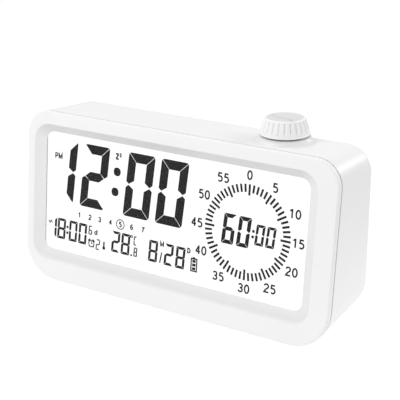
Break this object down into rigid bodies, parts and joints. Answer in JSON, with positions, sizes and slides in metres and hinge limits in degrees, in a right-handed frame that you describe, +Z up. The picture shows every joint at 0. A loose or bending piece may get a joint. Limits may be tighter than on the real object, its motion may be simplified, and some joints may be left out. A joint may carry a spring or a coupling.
{
  "type": "digital desk clock",
  "caption": "Leaning desk clock with a wide display in a sloped recess and a fluted knob on top that turns and pushes.",
  "frame": {"origin": "on the plane the feet stand on, under the middle of the outer box", "axes": "+Z up, +X to the right as seen from the front, the display faces -Y"},
  "size_m": [0.16, 0.0438, 0.0893],
  "materials": {
    "white_case": "fine matt moulding",
    "white_control": "satin moulding",
    "clear_sheet": "polished clear sheet",
    "display_glass": "smooth, pale reflective display",
    "clear_acrylic": "polished edge, dotted back",
    "pale_holder": "matt moulding",
    "contact_rubber": "striped elastomer",
    "circuit_board": "green lacquer over copper",
    "led_package": "moulded package",
    "black_resin": "poured resin",
    "steel": "plated steel",
    "foot_rubber": "matt moulded rubber",
    "cell_sleeve": "shrunk sleeve",
    "lead_cover": "soft cable cover",
    "ribbon_film": "flat film cable",
    "black_plastic": "matt moulding"
  },
  "bodies": {
    "case": {"front_bezel": "white_case", "rear_housing": "white_case", "display_window": "clear_sheet", "lcd_glass": "display_glass", "light_guide": "clear_acrylic", "lcd_frame": "pale_holder", "contact_strip": "contact_rubber", "main_board": "circuit_board", "backlight_led_left": "led_package", "backlight_led_right": "led_package", "controller_chip": "black_resin", "quartz_crystal": "steel", "temperature_sensor": "black_resin", "display_screw_1": "steel", "display_screw_2": "steel", "display_screw_3": "steel", "display_screw_4": "steel", "board_screw_1": "steel", "board_screw_2": "steel", "board_screw_3": "steel", "board_screw_4": "steel", "foot_front_left": "foot_rubber", "foot_front_right": "foot_rubber", "foot_rear_left": "foot_rubber", "foot_rear_right": "foot_rubber", "case_screw_left": "steel", "case_screw_right": "steel", "alarm_switch_body": "steel", "set_switch_body": "steel", "up_switch_body": "steel", "down_switch_body": "steel", "button_board": "circuit_board", "button_board_screw_1": "steel", "button_board_screw_2": "steel", "button_board_screw_3": "steel", "usb_socket": "steel", "usb_tongue": "black_plastic", "sound_switch_body": "steel", "speaker": "black_plastic", "encoder_bushing": "steel", "encoder_body": "black_plastic", "encoder_washer": "steel", "encoder_nut": "steel", "encoder_board": "circuit_board", "battery_cell": "cell_sleeve", "battery_lead": "lead_cover", "ribbon_cable": "ribbon_film"},
    "knob_plunger": {"encoder_plunger": "black_plastic"},
    "knob": {"timer_knob": "white_control", "encoder_shaft": "steel"},
    "alarm_key": {"alarm_button": "white_control", "alarm_switch_actuator": "black_plastic"},
    "set_key": {"set_button": "white_control", "set_switch_actuator": "black_plastic"},
    "up_key": {"up_button": "white_control", "up_switch_actuator": "black_plastic"},
    "down_key": {"down_button": "white_control", "down_switch_actuator": "black_plastic"},
    "sound_key": {"sound_slider": "black_plastic"}
  },
  "joints": [
    {"name": "knob_press", "type": "slide", "parent": "case", "child": "knob_plunger", "axis": [0, 0, -1], "range_m": [0, 0.0005], "stiffness_N_per_m": 600, "springref_m": -0.0008},
    {"name": "knob_turn", "type": "hinge", "parent": "knob_plunger", "child": "knob", "pos_m": [0.0441, 0.00581, 0.0855], "axis": [0, 0, 1], "continuous": true},
    {"name": "alarm_button_press", "type": "slide", "parent": "case", "child": "alarm_key", "axis": [0, -1, 0], "range_m": [0, 0.0005], "stiffness_N_per_m": 400, "springref_m": -0.0005},
    {"name": "set_button_press", "type": "slide", "parent": "case", "child": "set_key", "axis": [0, -1, 0], "range_m": [0, 0.0005], "stiffness_N_per_m": 400, "springref_m": -0.0005},
    {"name": "up_button_press", "type": "slide", "parent": "case", "child": "up_key", "axis": [0, -1, 0], "range_m": [0, 0.0005], "stiffness_N_per_m": 400, "springref_m": -0.0005},
    {"name": "down_button_press", "type": "slide", "parent": "case", "child": "down_key", "axis": [0, -1, 0], "range_m": [0, 0.0005], "stiffness_N_per_m": 400, "springref_m": -0.0005},
    {"name": "sound_switch_slide", "type": "slide", "parent": "case", "child": "sound_key", "axis": [-1, 0, 0], "range_m": [-0.002, 0.002]}
  ]
}
